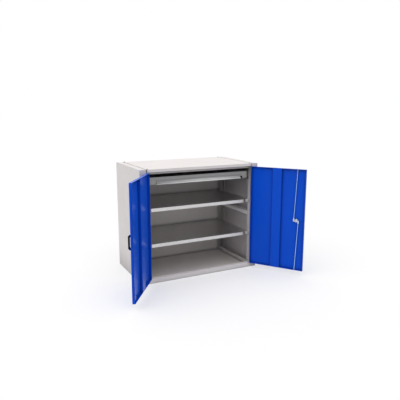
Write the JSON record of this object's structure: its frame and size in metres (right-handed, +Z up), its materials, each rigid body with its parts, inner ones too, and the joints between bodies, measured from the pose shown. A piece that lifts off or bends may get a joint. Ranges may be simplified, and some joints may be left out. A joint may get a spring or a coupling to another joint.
{
  "type": "tool cabinet",
  "caption": "Low sheet-steel workshop cabinet with hinged double doors, rod lock, a drawer on telescopic slides and shelves.",
  "frame": {"origin": "middle of the carcass footprint, on the ground, under the floor panel", "axes": "+X to the right seen from the front, +Y to the back, +Z up"},
  "size_m": [1.3908, 0.9373, 0.8537],
  "materials": {
    "grey_paint": "light grey powder coat, slightly textured",
    "inner_grey_paint": "light grey powder coat inside the carcass",
    "blue_paint": "glossy blue powder coat",
    "drawer_grey_paint": "mid grey powder coat",
    "zinc_steel": "zinc plated",
    "dark_steel": "blackened",
    "bright_aluminium": "anodised, satin",
    "black_plastic": "fine moulded grain",
    "chrome": "polished"
  },
  "bodies": {
    "carcass": {"front_post_left": "grey_paint", "rear_post_left": "grey_paint", "side_panel_left": "grey_paint", "top_strip_left": "grey_paint", "side_rail_left": "inner_grey_paint", "drawer_rail_left": "inner_grey_paint", "slide_outer_left": "zinc_steel", "top_screw_front_left": "dark_steel", "top_screw_rear_left": "dark_steel", "shelf_support_upper_left": "zinc_steel", "shelf_support_lower_left": "zinc_steel", "left_hinge_frame_leaf": "zinc_steel", "left_hinge_pin": "zinc_steel", "front_post_right": "grey_paint", "rear_post_right": "grey_paint", "side_panel_right": "grey_paint", "top_strip_right": "grey_paint", "side_rail_right": "inner_grey_paint", "drawer_rail_right": "inner_grey_paint", "slide_outer_right": "zinc_steel", "top_screw_front_right": "dark_steel", "top_screw_rear_right": "dark_steel", "shelf_support_upper_right": "zinc_steel", "shelf_support_lower_right": "zinc_steel", "right_hinge_frame_leaf": "zinc_steel", "right_hinge_pin": "zinc_steel", "top_panel": "grey_paint", "sill": "grey_paint", "back_panel": "inner_grey_paint", "floor_panel": "inner_grey_paint", "door_stop_rail": "inner_grey_paint", "shelf_upper": "zinc_steel", "shelf_lower": "zinc_steel"},
    "left_door": {"left_door_panel": "blue_paint", "left_door_stiffener": "blue_paint", "left_door_handle": "black_plastic", "left_hinge_door_leaf": "zinc_steel", "left_overlap_strip": "blue_paint"},
    "right_door": {"right_door_panel": "blue_paint", "right_door_stiffener": "blue_paint", "right_door_handle": "black_plastic", "right_hinge_door_leaf": "zinc_steel", "lock_body": "chrome", "lock_nut": "zinc_steel"},
    "lock": {"lock_barrel": "chrome", "lock_cam": "zinc_steel", "lock_cam_screw": "zinc_steel"},
    "upper_rod": {"rod_top": "zinc_steel"},
    "lower_rod": {"rod_bottom": "zinc_steel"},
    "drawer": {"slide_inner_left": "zinc_steel", "slide_inner_right": "zinc_steel", "drawer_tray": "drawer_grey_paint", "drawer_front": "drawer_grey_paint", "drawer_grip": "bright_aluminium", "drawer_grip_cap": "black_plastic"},
    "slide_middles": {"slide_middle_left": "zinc_steel", "slide_middle_right": "zinc_steel"},
    "release_lever_left": {"slide_release_left": "black_plastic"},
    "release_lever_right": {"slide_release_right": "black_plastic"}
  },
  "joints": [
    {"name": "left_door_swing", "type": "hinge", "parent": "carcass", "child": "left_door", "pos_m": [-0.4405, -0.278, 0.43], "axis": [0, 0, -1], "range_deg": [-125, 45]},
    {"name": "right_door_swing", "type": "hinge", "parent": "carcass", "child": "right_door", "pos_m": [0.4405, -0.278, 0.43], "axis": [0, 0, 1], "range_deg": [-125, 45]},
    {"name": "lock_turn", "type": "hinge", "parent": "right_door", "child": "lock", "pos_m": [0.65227, -0.58567, 0.43055], "axis": [-0.8192, -0.5736, 0], "range_deg": [-90, 0]},
    {"name": "rod_top_pivot", "type": "hinge", "parent": "lock", "child": "upper_rod", "pos_m": [0.63109, -0.57853, 0.43055], "axis": [-0.8192, -0.5736, 0], "range_deg": [0, 92.7]},
    {"name": "rod_bottom_pivot", "type": "hinge", "parent": "lock", "child": "lower_rod", "pos_m": [0.65174, -0.60802, 0.43055], "axis": [-0.8192, -0.5736, 0], "range_deg": [0, 92.7]},
    {"name": "drawer_slide", "type": "slide", "parent": "carcass", "child": "drawer", "axis": [0, -1, 0], "range_m": [0, 0.4]},
    {"name": "slide_middle_slide", "type": "slide", "parent": "carcass", "child": "slide_middles", "axis": [0, -1, 0], "range_m": [0, 0.2]},
    {"name": "slide_release_left_press", "type": "hinge", "parent": "drawer", "child": "release_lever_left", "pos_m": [-0.3958, -0.095, 0.7595], "axis": [1, 0, 0], "range_deg": [0, 8], "stiffness_Nm_per_rad": 0.05},
    {"name": "slide_release_right_press", "type": "hinge", "parent": "drawer", "child": "release_lever_right", "pos_m": [0.3958, -0.095, 0.7595], "axis": [-1, 0, 0], "range_deg": [0, 8], "stiffness_Nm_per_rad": 0.05}
  ],
  "couplings": [
    {"joint": "rod_top_pivot", "follows": "lock_turn", "ratio": -1.0289},
    {"joint": "rod_bottom_pivot", "follows": "lock_turn", "ratio": -1.0292},
    {"joint": "slide_middle_slide", "follows": "drawer_slide", "ratio": 0.5}
  ]
}
